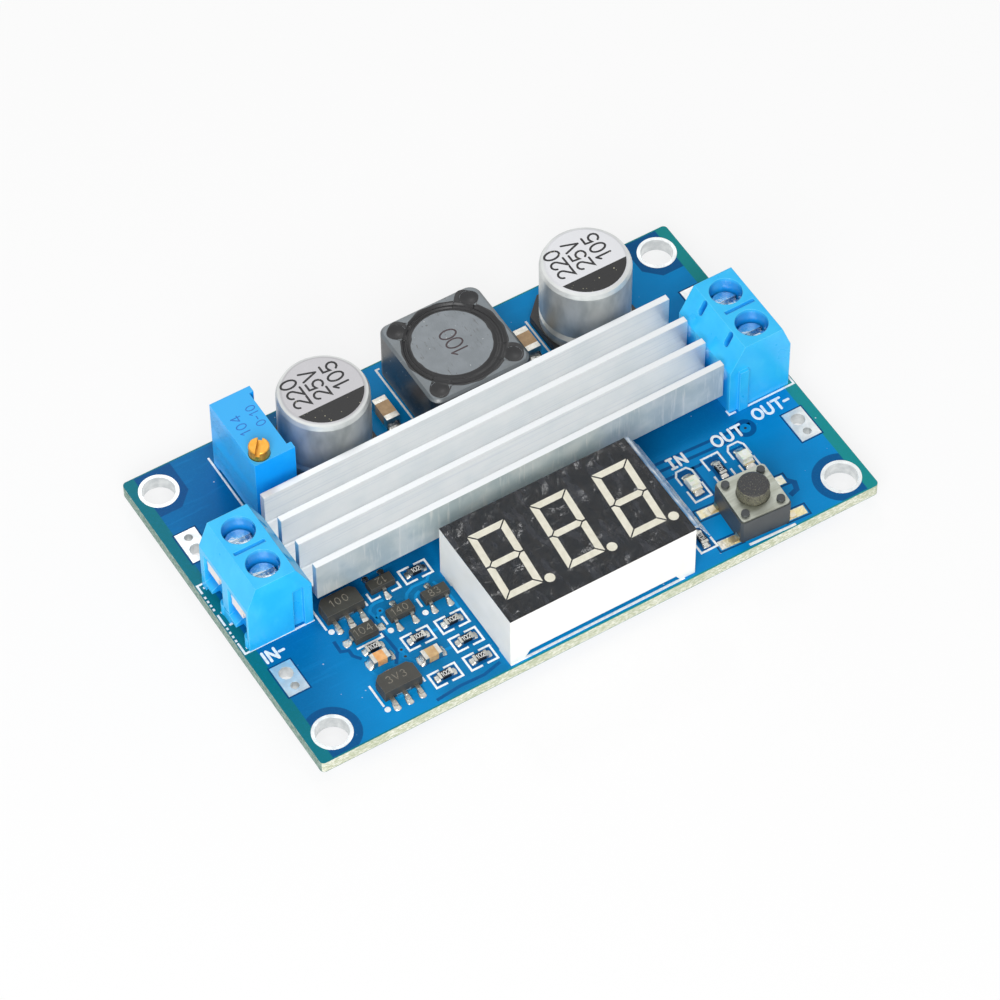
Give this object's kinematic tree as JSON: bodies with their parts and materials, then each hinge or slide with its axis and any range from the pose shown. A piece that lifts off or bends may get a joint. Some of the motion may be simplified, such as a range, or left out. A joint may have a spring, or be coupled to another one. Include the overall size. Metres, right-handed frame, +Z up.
{
  "type": "dc-dc converter module",
  "caption": "Power converter circuit module with a finned heatsink, digit display, trimmer, button and screw terminals.",
  "frame": {"origin": "middle of the board's outline, level with the tips of the trimmed leads under it", "axes": "+X from the input terminals to the output terminals, +Y to the capacitors at the back, +Z up from the board"},
  "size_m": [0.068, 0.042, 0.0143],
  "materials": {
    "solder_mask": "gloss",
    "plated_copper": "satin",
    "solder": "gloss",
    "heatsink_aluminium": "satin",
    "thermal_adhesive": "matt",
    "black_mould": "matt",
    "tinned_metal": "satin",
    "can_aluminium": "satin",
    "capacitor_paper": "matt",
    "black_rubber": "matt",
    "black_base": "satin",
    "capacitor_ceramic": "satin",
    "ferrite": "satin",
    "copper_wire": "gloss",
    "black_glue": "satin",
    "resistor_ceramic": "gloss",
    "white_plastic": "satin",
    "lamp_lens": "gloss",
    "gold_plating": "satin",
    "black_face": "satin",
    "segment_diffuser": "satin",
    "clear_film": "gloss",
    "switch_plastic": "matt",
    "cover_metal": "satin",
    "trimmer_plastic": "satin",
    "brass": "satin",
    "terminal_plastic": "satin",
    "screw_metal": "gloss"
  },
  "bodies": {
    "module": {"circuit_board": "solder_mask", "mounting_hole_liners": "plated_copper", "wire_pads": "plated_copper", "solder_joints": "solder", "heatsink": "heatsink_aluminium", "heatsink_adhesive": "thermal_adhesive", "power_package_bodies": "black_mould", "power_package_lead_frames": "tinned_metal", "controller_body": "black_mould", "controller_leads": "tinned_metal", "input_capacitor_can": "can_aluminium", "output_capacitor_can": "can_aluminium", "capacitor_windings": "capacitor_paper", "capacitor_bungs": "black_rubber", "capacitor_bases": "black_base", "capacitor_leads": "tinned_metal", "ceramic_capacitor_bodies": "capacitor_ceramic", "ceramic_capacitor_end_caps": "tinned_metal", "inductor_shield": "ferrite", "inductor_core": "ferrite", "inductor_winding": "copper_wire", "inductor_glue": "black_glue", "inductor_terminals": "tinned_metal", "chip_resistor_bodies": "resistor_ceramic", "chip_resistor_end_caps": "tinned_metal", "small_transistor_bodies": "black_mould", "small_transistor_leads": "tinned_metal", "regulator_bodies": "black_mould", "regulator_lead_frames": "tinned_metal", "indicator_lamp_bases": "white_plastic", "indicator_lamp_lenses": "lamp_lens", "indicator_lamp_terminals": "gold_plating", "display_shell": "white_plastic", "display_face": "black_face", "display_segments": "segment_diffuser", "display_backing": "white_plastic", "display_pins": "tinned_metal", "display_film": "clear_film", "meter_chip_body": "black_mould", "meter_chip_leads": "tinned_metal", "switch_base": "switch_plastic", "switch_cover": "cover_metal", "switch_dome": "cover_metal", "switch_leads": "gold_plating", "trimmer_body": "trimmer_plastic", "trimmer_pins": "tinned_metal", "input_terminal_housing": "terminal_plastic", "output_terminal_housing": "terminal_plastic", "clamp_contacts": "tinned_metal"},
    "button": {"switch_plunger": "switch_plastic"},
    "adjuster": {"trimmer_screw": "brass"},
    "input_guard_a": {"input_wire_guard_a": "tinned_metal"},
    "input_screw_a": {"input_clamp_screw_a": "screw_metal"},
    "input_guard_b": {"input_wire_guard_b": "tinned_metal"},
    "input_screw_b": {"input_clamp_screw_b": "screw_metal"},
    "output_guard_a": {"output_wire_guard_a": "tinned_metal"},
    "output_screw_a": {"output_clamp_screw_a": "screw_metal"},
    "output_guard_b": {"output_wire_guard_b": "tinned_metal"},
    "output_screw_b": {"output_clamp_screw_b": "screw_metal"}
  },
  "joints": [
    {"name": "button_press", "type": "slide", "parent": "module", "child": "button", "axis": [0, 0, -1], "range_m": [0, 0.00025], "stiffness_N_per_m": 2000, "springref_m": -0.0001, "deforming": ["switch_dome"]},
    {"name": "trimmer_turn", "type": "hinge", "parent": "module", "child": "adjuster", "pos_m": [-0.02303, 0.01002, 0.0143], "axis": [0, 0, 1], "continuous": true},
    {"name": "input_guard_a_slide", "type": "slide", "parent": "module", "child": "input_guard_a", "axis": [0, 0, 1], "range_m": [-0.0009, 0]},
    {"name": "input_screw_a_turn", "type": "hinge", "parent": "input_guard_a", "child": "input_screw_a", "pos_m": [-0.0298, -0.0025, 0.0111], "axis": [0, 0, 1], "range_deg": [-720, 0]},
    {"name": "input_guard_b_slide", "type": "slide", "parent": "module", "child": "input_guard_b", "axis": [0, 0, 1], "range_m": [-0.0009, 0]},
    {"name": "input_screw_b_turn", "type": "hinge", "parent": "input_guard_b", "child": "input_screw_b", "pos_m": [-0.0298, 0.0025, 0.0111], "axis": [0, 0, 1], "range_deg": [-720, 0]},
    {"name": "output_guard_a_slide", "type": "slide", "parent": "module", "child": "output_guard_a", "axis": [0, 0, 1], "range_m": [-0.0009, 0]},
    {"name": "output_screw_a_turn", "type": "hinge", "parent": "output_guard_a", "child": "output_screw_a", "pos_m": [0.0298, 0.0028, 0.0111], "axis": [0, 0, 1], "range_deg": [-720, 0]},
    {"name": "output_guard_b_slide", "type": "slide", "parent": "module", "child": "output_guard_b", "axis": [0, 0, 1], "range_m": [-0.0009, 0]},
    {"name": "output_screw_b_turn", "type": "hinge", "parent": "output_guard_b", "child": "output_screw_b", "pos_m": [0.0298, -0.0022, 0.0111], "axis": [0, 0, 1], "range_deg": [-720, 0]}
  ],
  "couplings": [
    {"joint": "input_screw_a_turn", "follows": "input_guard_a_slide", "rad_per_m": 13963},
    {"joint": "input_screw_b_turn", "follows": "input_guard_b_slide", "rad_per_m": 13963},
    {"joint": "output_screw_a_turn", "follows": "output_guard_a_slide", "rad_per_m": 13963},
    {"joint": "output_screw_b_turn", "follows": "output_guard_b_slide", "rad_per_m": 13963}
  ]
}
